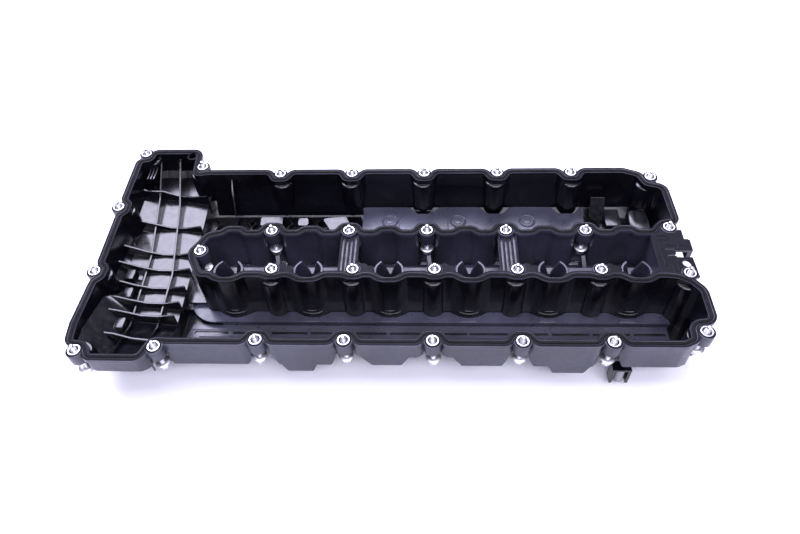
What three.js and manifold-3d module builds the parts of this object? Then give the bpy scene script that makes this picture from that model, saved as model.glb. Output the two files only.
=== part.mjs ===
// Cylinder head cover of an in-line six-cylinder engine, lying with its gasket face up.
// Millimetres. Design frame: X along the crankshaft, Y across the engine, gasket face at z = 0, and the
// roof of the cover below it. The exported group lifts this frame so that the roof rails stand on z = 0.
import * as THREE from "three";
import { mergeVertices } from "three/addons/utils/BufferGeometryUtils.js";
import Module from "manifold-3d";

const wasm = await Module();
wasm.setup();

// ---- Driving dimensions ---------------------------------------------------------------------------
const PITCH = 91; // distance between cylinders, and between the bolts along the cover
const ROOF_DROP = 82; // gasket face to the rails that the cover stands on
const CENTRE = { x: 130.9, y: 137.16 }; // middle of the cover's plan, in the design frame
const SKIN = 3; // thickness of the moulded roof
const BAND = 7.2; // width of the sealing land, and of the walls below it
const GROOVE = { width: 3, depth: 3 };
const SEAL = { width: 2.4, top: 0.7, bottom: -2.7 };
const BOSS = { radius: 9, bore: 6.8, bottom: -16, pocket: 9.6 };
const CORNER_STEP = THREE.MathUtils.degToRad(75); // widest facet of a rounded corner
const GAP = 0.3; // between pieces that touch
const SEAL_CLEARANCE = 9.3; // seal centre to bolt centre, past the sleeve

// ---- Sheet pieces, clip and vent ------------------------------------------------------------------
const BAFFLE = { top: -66, thick: 2, front: 67.5, skirt: -73.7 };
const SEPARATOR = { top: -50, thick: 2, x0: 93, x1: 374, near: 168, far: 240, drain: 3 };
const CLIP = { x: 383, y: 3, half: 6, reach: 10, wall: 3, top: -51, bottom: -76 };
const VENT = { x: 232, y: 200, wall: 34, inner: 31, floor: -75, ceiling: -63, port: 8 };
const SPRING = { turns: 3, radius: 10, wire: 0.6, bottom: -70.6, top: -64 };

// ---- Bolts ----------------------------------------------------------------------------------------
const rows = (x0, y) => [0, 1, 2, 3, 4].map((k) => [x0 + k * PITCH, y]);
const FRONT_ROW = rows(0, 0);
const BACK_ROW = rows(-10.2, 249.9);
const INNER_BACK_ROW = rows(-6.3, 152.2);
const INNER_FRONT_ROW = rows(2.3, 93.9);
const CORNER_BOLTS = {
  frontLeft: [-185.7, -14.1],
  frontStep: [-104.1, -8.9],
  frontRight: [458.4, 12.9],
  innerFrontRight: [460.3, 89.1],
  innerBackRight: [453.1, 156.9],
  backRight: [449.3, 241.3],
  backStep: [-113.3, 264.1],
  backLeft: [-194.4, 290.3],
  leftFront: [-198.9, 90.5],
  leftBack: [-201.8, 191.9],
  valleyEnd: [-84.6, 121.1],
};
const BOLTS = [
  ...FRONT_ROW,
  ...INNER_FRONT_ROW,
  ...INNER_BACK_ROW,
  ...BACK_ROW,
  ...Object.values(CORNER_BOLTS),
];
const BOLT = { shaft: 3.2, tip: 2.2, flange: 8, hex: 10, top: 9, seat: -28, head: -38, lean: 1.8 };

// ---- Coil wells -----------------------------------------------------------------------------------
const TUBE = { x0: -48.6, y: 96.5, outer: 17, inner: 14.4, rim: -7, bottom: -70, notchHalf: 8, notchDepth: 30 };
const TUBE_XS = [0, 1, 2, 3, 4, 5].map((k) => TUBE.x0 + k * PITCH);

// ---- Solids ---------------------------------------------------------------------------------------
function solid(geometry) {
  const bare = geometry.clone();
  bare.deleteAttribute("normal");
  bare.deleteAttribute("uv");
  const merged = mergeVertices(bare, 1e-4);
  const mesh = new wasm.Mesh({
    numProp: 3,
    vertProperties: merged.attributes.position.array,
    triVerts: new Uint32Array(merged.index.array),
  });
  return new wasm.Manifold(mesh);
}

function geometryOf(body) {
  const mesh = body.getMesh();
  const geometry = new THREE.BufferGeometry();
  geometry.setAttribute("position", new THREE.BufferAttribute(mesh.vertProperties, 3));
  geometry.setIndex(new THREE.BufferAttribute(mesh.triVerts, 1));
  const flat = geometry.toNonIndexed();
  flat.computeVertexNormals();
  return flat;
}

const join = (bodies) => bodies.reduce((all, body) => all.add(body));
const points = (list) => list.map(([x, y]) => new THREE.Vector2(x, y));

// An upright prism over a plan outline, with optional holes.
function prism(outline, bottom, top, holes = []) {
  const shape = new THREE.Shape(points(outline));
  shape.holes = holes.map((hole) => new THREE.Path(points(hole)));
  const geometry = new THREE.ExtrudeGeometry(shape, { depth: top - bottom, bevelEnabled: false });
  return solid(geometry.translate(0, 0, bottom));
}

// A prism along X over an outline given as [y, z].
function bar(outline, fromX, toX) {
  const shape = new THREE.Shape(points(outline));
  const geometry = new THREE.ExtrudeGeometry(shape, { depth: toX - fromX, bevelEnabled: false });
  const turn = new THREE.Matrix4().makeBasis(
    new THREE.Vector3(0, 1, 0),
    new THREE.Vector3(0, 0, 1),
    new THREE.Vector3(1, 0, 0),
  );
  return solid(geometry.applyMatrix4(turn).translate(fromX, 0, 0));
}

function drum(x, y, radius, bottom, top, sides = 16, topRadius = radius) {
  const geometry = new THREE.CylinderGeometry(topRadius, radius, top - bottom, sides);
  return solid(geometry.rotateX(Math.PI / 2).translate(x, y, (top + bottom) / 2));
}

function block(x0, x1, y0, y1, z0, z1) {
  const geometry = new THREE.BoxGeometry(x1 - x0, y1 - y0, z1 - z0);
  return solid(geometry.translate((x0 + x1) / 2, (y0 + y1) / 2, (z0 + z1) / 2));
}

// A standing rib between two plan points, its top edge given as [distance share, z].
function rib(from, to, tops, bottom, thickness = 2) {
  const length = Math.hypot(to[0] - from[0], to[1] - from[1]);
  const outline = [[0, bottom], [length, bottom]];
  [...tops].reverse().forEach(([share, z]) => outline.push([share * length, z]));
  const shape = new THREE.Shape(points(outline));
  const geometry = new THREE.ExtrudeGeometry(shape, { depth: thickness, bevelEnabled: false });
  geometry.translate(0, 0, -thickness / 2).rotateX(Math.PI / 2);
  geometry.rotateZ(Math.atan2(to[1] - from[1], to[0] - from[0]));
  return solid(geometry.translate(from[0], from[1], 0));
}

// ---- Outlines -------------------------------------------------------------------------------------
// Rounds each corner [x, y, radius] of a closed outline.
function rounded(corners) {
  const outline = [];
  corners.forEach(([x, y, radius = 0], i) => {
    const before = corners[(i + corners.length - 1) % corners.length];
    const after = corners[(i + 1) % corners.length];
    const p = new THREE.Vector2(x, y);
    const a = new THREE.Vector2(before[0], before[1]).sub(p);
    const b = new THREE.Vector2(after[0], after[1]).sub(p);
    const turn = Math.PI - Math.acos(THREE.MathUtils.clamp(a.dot(b) / (a.length() * b.length()), -1, 1));
    const reach = Math.min(radius * Math.tan(turn / 2), 0.49 * a.length(), 0.49 * b.length());
    if (reach < 0.05) {
      outline.push([x, y]);
      return;
    }
    const start = p.clone().addScaledVector(a.clone().normalize(), reach);
    const end = p.clone().addScaledVector(b.clone().normalize(), reach);
    const middle = start.clone().add(end).multiplyScalar(0.5);
    const used = reach / Math.tan(turn / 2);
    const centre = p.clone().addScaledVector(middle.clone().sub(p).normalize(), Math.hypot(used, reach));
    const steps = Math.max(1, Math.ceil(turn / CORNER_STEP));
    const first = Math.atan2(start.y - centre.y, start.x - centre.x);
    const side = Math.sign(a.x * b.y - a.y * b.x);
    for (let s = 0; s <= steps; s++) {
      const angle = first - (side * turn * s) / steps;
      outline.push([centre.x + used * Math.cos(angle), centre.y + used * Math.sin(angle)]);
    }
  });
  return outline;
}

// The closed outline moved sideways: positive to the left of its direction.
function offset(outline, distance) {
  return outline.map((p, i) => {
    const before = outline[(i + outline.length - 1) % outline.length];
    const after = outline[(i + 1) % outline.length];
    const a = new THREE.Vector2(p[0] - before[0], p[1] - before[1]).normalize();
    const b = new THREE.Vector2(after[0] - p[0], after[1] - p[1]).normalize();
    const normal = new THREE.Vector2(-a.y - b.y, a.x + b.x).normalize();
    const reach = distance / Math.max(0.5, normal.dot(new THREE.Vector2(-a.y, a.x)));
    return [p[0] + normal.x * reach, p[1] + normal.y * reach];
  });
}

// The seal's way round a bolt on a straight run along X: out at (x, away), past the bolt, and back.
function detour(x, straightY, awayY, direction) {
  const foot = 14.5;
  const crest = 6.8;
  return [
    [x - direction * foot, straightY],
    [x - direction * crest, awayY],
    [x + direction * crest, awayY],
    [x + direction * foot, straightY],
  ];
}

// Seal line: anticlockwise round the oil space, which is T-shaped on the left and forks round the valley.
const FRONT_Y = -1.1;
const BACK_Y = 253.4;
const VALLEY_FRONT_Y = 87;
const VALLEY_BACK_Y = 150.6;
const TUBE_BULGE_Y = 80;
const frontRun = FRONT_ROW.flatMap(([x]) => detour(x, FRONT_Y, SEAL_CLEARANCE, 1));
const backRun = [...BACK_ROW].reverse().flatMap(([x, y]) => detour(x, BACK_Y, y - SEAL_CLEARANCE, -1));
const valleyFrontRun = [...TUBE_XS].reverse().flatMap((x, i) => {
  const bolt = INNER_FRONT_ROW[INNER_FRONT_ROW.length - 1 - i];
  const bulge = [
    [x + 19, VALLEY_FRONT_Y],
    [x + 9, TUBE_BULGE_Y],
    [x - 9, TUBE_BULGE_Y],
    [x - 19, VALLEY_FRONT_Y],
  ];
  const bump = bolt
    ? [
        [bolt[0] + 12, VALLEY_FRONT_Y],
        [bolt[0] + 4, bolt[1] - SEAL_CLEARANCE - 0.4],
        [bolt[0] - 4, bolt[1] - SEAL_CLEARANCE - 0.4],
        [bolt[0] - 12, VALLEY_FRONT_Y],
      ]
    : [];
  return [...bulge, ...bump];
});
const valleyBackRun = INNER_BACK_ROW.flatMap(([x, y]) => [
  ...detour(x - PITCH / 2, VALLEY_BACK_Y, y + 4.6, 1),
  ...detour(x, VALLEY_BACK_Y, y + SEAL_CLEARANCE, 1),
]);
const SEAL_LINE = rounded([
  [-198, 20, 0],
  [-195.6, -4, 8],
  [-179, -5.5, 8],
  [-171, -21, 8],
  [-117.5, -21.4, 6],
  [-109, FRONT_Y + 1.2, 9],
  [-92, FRONT_Y, 8],
  ...frontRun,
  [434, FRONT_Y, 10],
  [445.5, 4.5, 5],
  [446.5, 24.5, 12],
  [469, 27, 9],
  [469, 66, 14],
  [459, 79, 8],
  [448, VALLEY_FRONT_Y - 2, 8],
  [436, VALLEY_FRONT_Y, 12],
  ...valleyFrontRun,
  [-80, VALLEY_FRONT_Y, 16],
  [-92, 109, 9],
  [-95.5, 121, 9],
  [-87.5, 134.5, 9],
  [-82, 147, 12],
  ...valleyBackRun,
  ...detour(INNER_BACK_ROW[4][0] + PITCH / 2, VALLEY_BACK_Y, 156.8, 1),
  [434, VALLEY_BACK_Y, 8],
  [446.5, 165, 8],
  [463, 168, 6],
  [461.6, 224, 10],
  [442, 230, 8],
  [436, 246, 8],
  [418, BACK_Y, 10],
  ...backRun,
  [-97, BACK_Y, 8],
  [-106, 253.4, 8],
  [-121, 250, 8],
  [-124.4, 294, 9],
  [-184, 294, 6],
  [-186, 279.5, 7],
  [-199.6, 277, 6],
  [-198.6, 206, 8],
  [-191, 199, 8],
  [-190.6, 185, 8],
  [-197.2, 178, 8],
  [-195.6, 104, 8],
  [-188.2, 97.5, 8],
  [-188, 83.5, 8],
  [-195.6, 76, 8],
]);

// ---- Cover shell ----------------------------------------------------------------------------------
const LEFT_STEP_X = -112; // the shallow left chamber ends and the deep troughs begin
const CHAMBER_ROOF = [
  [-40, -20], [-22, -24], [45, -53], [120, -50], [232, -43], [284, -40], [300, -22], [320, -22],
];
const TROUGH_ROOF = [[-40, -25], [3, -25], [44, -77], [91, -77], [91, -63], [228, -63], [250, -50], [320, -50]];
const HUMP_ROOF = [[-40, -42], [-1, -42], [42, -77], [91, -77]];
const LOBE_ROOF = [[-40, -56], [-1, -56], [18, -77], [91, -77]];
// Bulges of the front roof: x of each end at shoulder height and at the foot.
const HUMPS = [
  { left: LEFT_STEP_X, leftFoot: LEFT_STEP_X, rightFoot: -14, right: -3 },
  { left: 10, leftFoot: 20, rightFoot: 74, right: 86 },
  { left: 101, leftFoot: 120, rightFoot: 148, right: 162 },
  { left: 198, leftFoot: 214, rightFoot: 254, right: 265 },
  { left: 276, leftFoot: 288, rightFoot: 350, right: 360 },
  { left: 370, leftFoot: 380, rightFoot: 474, right: 474 },
];
const LOBES = [
  { left: 12, leftFoot: 27, rightFoot: 53, right: 68 },
  { left: 294, leftFoot: 310, rightFoot: 341, right: 357 },
];
const SHOULDER_Z = -16;
const DEEPEST_Z = -95; // below every roof
const SPACE_TOP = 3;

// The space between the gasket face and a roof line, moved in by the skin where it is the inside.
function space(roof, fromX, toX, skin = 0) {
  const line = roof.map(([y, z]) => [y, z + skin]);
  const start = [line[0][0], SPACE_TOP];
  const end = [line[line.length - 1][0], SPACE_TOP];
  return bar([...line, end, start], fromX + skin, toX - skin);
}

// A bulge: its cross-section between two sloping ends.
function bulge(roof, { left, leftFoot, rightFoot, right }, footZ, skin) {
  const face = [[left, 9], [left, SHOULDER_Z], [leftFoot, footZ], [leftFoot, DEEPEST_Z],
    [rightFoot, DEEPEST_Z], [rightFoot, footZ], [right, SHOULDER_Z], [right, 9]];
  const shape = new THREE.Shape(points(offset(face, skin)));
  const geometry = new THREE.ExtrudeGeometry(shape, { depth: 132, bevelEnabled: false });
  const ends = solid(geometry.rotateX(Math.PI / 2).translate(0, 92, 0));
  return space(roof, left - 1, right + 1, skin).intersect(ends);
}

function envelope(skin) {
  return join([
    space(CHAMBER_ROOF, -230 - skin, LEFT_STEP_X + 3 + 2 * skin, skin),
    space(TROUGH_ROOF, LEFT_STEP_X, 490, skin),
    ...HUMPS.map((ends) => bulge(HUMP_ROOF, ends, -42, skin)),
    ...LOBES.map((ends) => bulge(LOBE_ROOF, ends, -55, skin)),
  ]);
}

const RIB_FOOT = -58; // below the chamber's floor, so that each rib is rooted in it
const LONG_RIBS = [
  { from: [-158, -24], to: [-163, 150], tops: [[0, -15], [0.4, -42], [1, -41]] },
  { from: [-163, 149], to: [-178, 296], tops: [[0, -41], [0.6, -30], [1, -8]] },
  { from: [-128, -24], to: [-129, 120], tops: [[0, -15], [0.48, -43], [1, -40]] },
  { from: [-129, 119], to: [-153, 296], tops: [[0, -40], [0.6, -32], [1, -8]] },
];
// Cross ribs of the chamber: y, and how far the rib is lifted over the rising floor.
const CROSS_RIBS = [[20, 9], [55, 5], [76, 2], [100, 0], [127, 0], [152, 0], [192, 4], [238, 12]];

function chamberRibs() {
  const long = LONG_RIBS.map(({ from, to, tops }) => rib(from, to, tops, RIB_FOOT));
  const cross = CROSS_RIBS.map(([y, lift]) => {
    const raised = [[0.4, -37], [0.6, -42], [0.8, -41], [1, -36]].map(([share, z]) => [share, z + lift]);
    const tops = [[0, -22], [0.18, -28], ...raised];
    return rib([-208, y + lift + 2], [-108, y - 3], tops, RIB_FOOT);
  });
  return join([...long, ...cross]);
}

// The chamber's floor rises to its left wall: steeply in front, gently behind.
function chamberRamps() {
  const steep = rib([-160, 112], [-216, 100], [[0, -57], [0.12, -54], [0.75, -21], [1, -8]], -60, 300);
  const gentle = rib([-166, 214], [-204, 214], [[0, -46], [0.1, -44], [1, -34]], -60, 52);
  return steep.add(gentle);
}

// Upright pipe stub in the chamber's back corner.
const STUB = { x: -133, y: 287, outer: 6.6, inner: 4.8, top: -2, floor: -26 };

function stiffeners() {
  const backWall = rib([-76, 256], [-66, 160], [[0, -5], [0.2, -20], [0.4, -52], [1, -54]], -62);
  const trough = [-30, 25, 62].map((x) => rib([x, 246], [x + 18, 165], [[0, -44], [0.5, -52], [1, -50]], -62));
  const tab = rib([384, 250], [386, 214], [[0, -42], [1, -46]], -62, 3);
  const lug = block(400, 419, 205, 232, -62, -48);
  const step = block(428, 451, 190, 222, -62, -41);
  return join([backWall, ...trough, tab, lug, step]);
}

function coilTubes() {
  return join(TUBE_XS.map((x) => drum(x, TUBE.y, TUBE.outer, TUBE.bottom, TUBE.rim, 16)));
}

function coilBores() {
  return join(TUBE_XS.flatMap((x) => [
    drum(x, TUBE.y, TUBE.inner, TUBE.bottom - 1, 4, 16),
    notch(x),
  ]));
}

// The V cut in the rear of a tube's rim.
function notch(x) {
  const shape = new THREE.Shape(points([
    [-TUBE.notchHalf, TUBE.rim + 1],
    [0, TUBE.rim - TUBE.notchDepth],
    [TUBE.notchHalf, TUBE.rim + 1],
  ]));
  const geometry = new THREE.ExtrudeGeometry(shape, { depth: 20, bevelEnabled: false });
  return solid(geometry.rotateX(Math.PI / 2).translate(x, TUBE.y + 21, 0));
}

function bridge(bolt) {
  const x = bolt[0] - 7;
  const deck = block(x - 11, x + 11, 84, 153, -9, -6);
  const ridges = [-9.5, -4.75, 0, 4.75, 9.5].map((dx) => block(x + dx - 1, x + dx + 1, 84, 153, -7, -3));
  return join([deck, ...ridges]);
}

// Floor of the valley: a shelf round the coil tubes, a step down and the deeper back half.
function valleyFloor() {
  const shelf = block(-84, 433, 88, 121, -33, -30);
  const step = block(-84, 433, 118, 121, -63, -30);
  const deck = block(-84, 433, 118, 150, -63, -60);
  return join([shelf, step, deck]);
}

// Tapered gusset in the valley, under a bolt of the inner back row.
function gusset([x]) {
  return rib([x + 1, 150], [x + 7, 110], [[0, -28], [1, -60]], -62, 5);
}

function endBracket() {
  const plate = prism([[431, 84], [470, 84], [469, 112], [452, 112], [452, 122], [472, 122],
    [470.5, 139], [466, 139], [466, 153], [431, 153]], -4, -0.6);
  const slots = [[441, 454, 122.6, 125.4], [442, 452, 114, 117], [445, 455, 106, 108.4]];
  const ear = block(466.5, 472, 122, 138, -16, -0.6);
  const web = rib([431.5, 84], [431.5, 152], [[0, -2], [1, -2]], -64, 3);
  const eye = drum(461, 103.5, 5, -10, 4, 14);
  return join([plate, ear, web])
    .subtract(join([...slots.map(([a, b, c, d]) => block(a, b, c, d, -10, 4)), eye]));
}

function roofRails() {
  const front = [50, 84].map((y) => block(-60, 420, y, y + 3, -ROOF_DROP, -76));
  const cross = [-60, 60, 180, 300, 417].map((x) => block(x, x + 3, 50, 86, -ROOF_DROP, -76));
  return join([...front, ...cross]);
}

// Ring below the roof that holds the vent membrane, with the port into the separator space.
function ventHousing() {
  const ring = drum(VENT.x, VENT.y, VENT.wall, VENT.floor, -61, 20);
  return ring.subtract(drum(VENT.x, VENT.y, VENT.inner, VENT.floor - 1, VENT.ceiling, 20));
}

function buildShell() {
  const outside = envelope(0);
  const inside = envelope(SKIN);
  const lineOut = offset(SEAL_LINE, -BAND / 2);
  const lineIn = offset(SEAL_LINE, BAND / 2);
  const oilPlan = prism(SEAL_LINE, -90, 2);
  const walls = prism(lineOut, -90, 0, [lineIn]).intersect(outside);
  const roof = outside.subtract(inside).intersect(oilPlan);
  const bosses = join(BOLTS.map(([x, y]) => drum(x, y, BOSS.radius, BOSS.bottom, 0, 8)));
  const stub = drum(STUB.x, STUB.y, STUB.outer, STUB.floor - 4, STUB.top, 16);
  const ribs = join([chamberRibs(), chamberRamps(), stiffeners(), stub]).intersect(oilPlan).intersect(outside);
  const bridges = join([INNER_FRONT_ROW[1], INNER_FRONT_ROW[3]].map(bridge));
  const gussets = join([INNER_BACK_ROW[0], INNER_BACK_ROW[2], INNER_BACK_ROW[4]].map(gusset));
  const solids = join([walls, roof, valleyFloor(), bosses, ribs, bridges, gussets, coilTubes(), endBracket(),
    roofRails(), ventHousing()]);
  const groove = prism(
    offset(SEAL_LINE, -GROOVE.width / 2), -GROOVE.depth, 2, [offset(SEAL_LINE, GROOVE.width / 2)]);
  const holes = join(BOLTS.flatMap(([x, y]) => [
    drum(x, y, BOSS.bore, BOSS.bottom - 1, 4, 10),
    drum(x, y, BOSS.pocket, -60, BOSS.bottom, 8),
  ]));
  const port = drum(VENT.x, VENT.y, VENT.port, -70, -50, 10);
  const stubBore = drum(STUB.x, STUB.y, STUB.inner, STUB.floor, 2, 12);
  const shell = solids.subtract(join([groove, coilBores(), stubBore])).subtract(holes).subtract(port);
  return shell.asOriginal().simplify(0.08);
}

// ---- Sheet and rubber pieces ----------------------------------------------------------------------
function buildSeal() {
  const half = SEAL.width / 2;
  return prism(offset(SEAL_LINE, -half), SEAL.bottom, SEAL.top, [offset(SEAL_LINE, half)]).simplify(0.05);
}

const inOilSpace = () => prism(offset(SEAL_LINE, BAND / 2 + GAP), -90, 3);

// Baffle over the front trough: a ledge against the valley wall, and a skirt down to the trough floor.
function buildBaffle() {
  const { top, thick, front, skirt } = BAFFLE;
  const leftEnd = [[-66, front], [-86, front + 5], [-102, front + 19], [-108.5, front + 38], [-108.5, 128]];
  const edge = [[452, front], [452, 92], [-70, 92], [-96, 128], ...[...leftEnd].reverse()];
  const ledge = prism(edge, top - thick, top).intersect(inOilSpace());
  const wall = block(-64, 452, front, front + thick, skirt, top);
  return join([ledge, wall]);
}

// Oil separator plate in the back trough: a tray turned over on its rim, with a scalloped far edge.
function buildSeparator() {
  const { top, thick, x0, x1, near, far, drain } = SEPARATOR;
  const scallops = [...BACK_ROW].reverse().filter(([x]) => x > x0 && x < x1)
    .flatMap(([x]) => [[x + 18, far], [x + 9, far - 11], [x - 9, far - 11], [x - 18, far]]);
  const outline = [[x0, near], [x1, near], [x1, far], ...scallops, [x0, far]];
  const plate = prism(outline, top - thick, top);
  const rim = prism([[x0, near], [x1, near], [x1, 226], [x0, 226]], -60 + GAP, top - thick, [
    [[x0 + 2, near + 2], [x1 - 2, near + 2], [x1 - 2, 224], [x0 + 2, 224]],
  ]);
  const drains = join([128, 215, 302].map((x) => drum(x, 214.5, drain, top - 9, top + 1, 8)));
  return join([plate, rim]).subtract(drains);
}

// Clip under the front right of the roof, and the grey bush that it holds.
function buildClip() {
  const { x, y, half, reach, wall, top, bottom } = CLIP;
  const web = block(x - reach, x + reach, y - half, y + half, top - 2.5, top);
  const jaws = [x - reach, x + reach - wall].map((left) =>
    block(left, left + wall, y - half, y + half, bottom, top));
  const back = block(x - reach, x + reach, y + half - 1.5, y + half, bottom, top);
  return join([web, ...jaws, back]);
}

const buildBush = () => drum(CLIP.x, CLIP.y - 1, 5, CLIP.bottom + 1, CLIP.top - 2.5 - GAP, 12);

function buildVentMembrane() {
  const { x, y, inner } = VENT;
  return drum(x, y, inner - GAP, -74.7, -73.2, 20).add(drum(x, y, 12, -73.3, -71.5, 12));
}

function buildVentSpring() {
  const { turns, radius, wire, bottom, top } = SPRING;
  class Helix extends THREE.Curve {
    getPoint(t, target = new THREE.Vector3()) {
      const angle = 2 * Math.PI * turns * t;
      return target.set(radius * Math.cos(angle), radius * Math.sin(angle), bottom + (top - bottom) * t);
    }
  }
  const section = new THREE.Shape(points([0, 1, 2, 3, 4].map((k) => {
    const angle = (2 * Math.PI * k) / 5;
    return [wire * Math.cos(angle), wire * Math.sin(angle)];
  })));
  const geometry = new THREE.ExtrudeGeometry(section, { steps: 36, extrudePath: new Helix(), bevelEnabled: false });
  return solid(geometry.translate(VENT.x, VENT.y, 0));
}

function buildVentCover() {
  const { x, y, wall } = VENT;
  const dome = drum(x, y, wall - 4, -ROOF_DROP, -77.5, 20, wall);
  const rim = drum(x, y, wall, -77.6, -75 - GAP, 20);
  return dome.add(rim).subtract(drum(x, y, wall - 6, -80, -75, 20));
}

// ---- Bolt -----------------------------------------------------------------------------------------
function buildBolt() {
  const { shaft, tip, flange, hex, top, seat, head } = BOLT;
  const profile = [[0, seat - 2.2], [flange, seat - 2.2], [flange, seat - 1], [flange - 1.5, seat], [shaft, seat],
    [shaft, top - 4.4], [tip, top - 3.6], [tip, top - 1], [0, top]];
  const body = new THREE.LatheGeometry(points(profile), 8).rotateX(Math.PI / 2);
  const hexagon = new THREE.CylinderGeometry(hex / Math.sqrt(3), hex / Math.sqrt(3), seat - 2 - head, 6);
  hexagon.rotateX(Math.PI / 2).translate(0, 0, (seat - 2 + head) / 2);
  return solid(body).add(solid(hexagon));
}

// ---- Assembly -------------------------------------------------------------------------------------
const finish = (color, roughness, metalness = 0) =>
  new THREE.MeshStandardMaterial({ color, roughness, metalness });
const NYLON = finish(0x17171b, 0.45);
const RUBBER = finish(0x060607, 0.85);
const STEEL = finish(0xb9bbc0, 0.3, 1);
const GREY = finish(0x8a8c90, 0.5);

const cover = new THREE.Group();
cover.position.set(-CENTRE.x, -CENTRE.y, ROOF_DROP);

function place(name, body, material) {
  const mesh = new THREE.Mesh(geometryOf(body), material);
  mesh.name = name;
  cover.add(mesh);
  return mesh;
}

place("cover_shell", buildShell(), NYLON);
place("profile_gasket", buildSeal(), RUBBER);
place("oil_baffle", buildBaffle(), NYLON);
place("separator_plate", buildSeparator(), NYLON);
place("wiring_clip", buildClip(), NYLON);
place("clip_bush", buildBush(), GREY);
place("vent_membrane", buildVentMembrane(), RUBBER);
place("vent_spring", buildVentSpring(), STEEL);
place("vent_cover", buildVentCover(), NYLON);
const boltBody = buildBolt();
const lean = THREE.MathUtils.degToRad(BOLT.lean);
BOLTS.forEach(([x, y], i) => {
  const mesh = place("cover_bolt_" + String(i + 1).padStart(2, "0"), boltBody, STEEL);
  mesh.position.set(x, y, 0);
  mesh.rotation.set(lean * Math.sin(2.4 * i), lean * Math.cos(1.7 * i), 0);
});

export default cover;
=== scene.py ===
"""Cylinder head cover of an in-line six-cylinder engine, lying with its gasket face up.

Shapes are worked out in a design frame in millimetres: X along the crankshaft, Y across the engine and
the gasket face at z = 0. Each finished piece is then brought to the frame's metres.
"""
import math

import bpy
from mathutils import Matrix, Vector


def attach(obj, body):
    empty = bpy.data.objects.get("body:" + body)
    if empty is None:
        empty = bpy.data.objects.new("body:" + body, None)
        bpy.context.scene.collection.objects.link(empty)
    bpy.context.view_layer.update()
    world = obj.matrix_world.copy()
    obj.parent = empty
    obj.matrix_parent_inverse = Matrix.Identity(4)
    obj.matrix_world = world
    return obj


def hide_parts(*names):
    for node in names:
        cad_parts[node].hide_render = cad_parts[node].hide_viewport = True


bl_info = {
    "name": "Cylinder head cover",
    "version": (1, 0, 0),
    "blender": (4, 5, 0),
    "location": "View3D > Sidebar > Cover",
    "description": "Builds a moulded cylinder head cover with its seal, bolts, sleeves and plates",
    "category": "Object",
}

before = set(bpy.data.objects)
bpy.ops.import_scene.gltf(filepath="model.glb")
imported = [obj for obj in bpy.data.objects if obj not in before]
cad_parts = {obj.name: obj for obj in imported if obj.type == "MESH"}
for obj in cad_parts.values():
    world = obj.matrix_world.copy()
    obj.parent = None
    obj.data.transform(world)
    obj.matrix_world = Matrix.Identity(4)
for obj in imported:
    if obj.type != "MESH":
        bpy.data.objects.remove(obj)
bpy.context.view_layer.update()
MM = 0.001  # a millimetre in the frame's metres

# ---- Design dimensions, in millimetres --------------------------------------------------------------
PITCH = 91  # from one cylinder to the next
ROOF_DROP = 82  # gasket face to the rails that the cover stands on
CENTRE = (130.9, 137.16)
SKIN = 3
BAND = 7.2  # width of the rim
GROOVE_HALF = 1.9
GROOVE_DEPTH = 3
CLEAR = 9.3  # seal centre to bolt centre
FRONT_Y = -1.1
BACK_Y = 253.4
VALLEY_FRONT_Y = 87
VALLEY_BACK_Y = 150.6
TUBE_BULGE_Y = 80
ARC_STEP = math.radians(12)
FLOOR_ROOT = -62  # below the trough floors, so that what stands on them is rooted

FRONT_ROW = [(k * PITCH, 0) for k in range(5)]
BACK_ROW = [(k * PITCH - 10.2, 249.9) for k in range(5)]
INNER_BACK_ROW = [(k * PITCH - 6.3, 152.2) for k in range(5)]
INNER_FRONT_ROW = [(k * PITCH + 2.3, 93.9) for k in range(5)]
CORNER_BOLTS = [
    (-185.7, -14.1), (-104.1, -8.9), (458.4, 12.9), (460.3, 89.1), (453.1, 156.9), (449.3, 241.3),
    (-113.3, 264.1), (-194.4, 290.3), (-198.9, 90.5), (-201.8, 191.9), (-84.6, 121.1),
]
BOLTS = FRONT_ROW + INNER_FRONT_ROW + INNER_BACK_ROW + BACK_ROW + CORNER_BOLTS
BOLT_LEAN = math.radians(1.8)
BOSS_RADIUS = 9
BOSS_BORE = 6.8
BOSS_FOOT = -16
TUBE_XS = [k * PITCH - 48.6 for k in range(6)]
TUBE_Y = 96.5
TUBE_RADIUS = 17
TUBE_BORE = 14.4
TO_FRAME = Matrix.Translation((-CENTRE[0] * MM, -CENTRE[1] * MM, ROOF_DROP * MM)) @ Matrix.Scale(MM, 4)


# ---- Outlines -----------------------------------------------------------------------------------------
def rounded(corners):
    """A closed outline whose corners (x, y, radius) are rounded by arcs."""
    outline = []
    for i, corner in enumerate(corners):
        point = Vector(corner[:2])
        before = Vector(corners[i - 1][:2]) - point
        after = Vector(corners[(i + 1) % len(corners)][:2]) - point
        radius = corner[2] if len(corner) > 2 else 0
        turn = math.pi - before.angle(after)
        reach = min(radius * math.tan(turn / 2), 0.49 * before.length, 0.49 * after.length)
        if reach < 0.05:
            outline.append(tuple(point))
            continue
        start = point + before.normalized() * reach
        end = point + after.normalized() * reach
        used = reach / math.tan(turn / 2)
        centre = point + ((start + end) / 2 - point).normalized() * math.hypot(used, reach)
        steps = max(1, math.ceil(turn / ARC_STEP))
        first = math.atan2(start.y - centre.y, start.x - centre.x)
        side = math.copysign(1, before.x * after.y - before.y * after.x)
        for step in range(steps + 1):
            angle = first - side * turn * step / steps
            outline.append((centre.x + used * math.cos(angle), centre.y + used * math.sin(angle)))
    return outline


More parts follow.
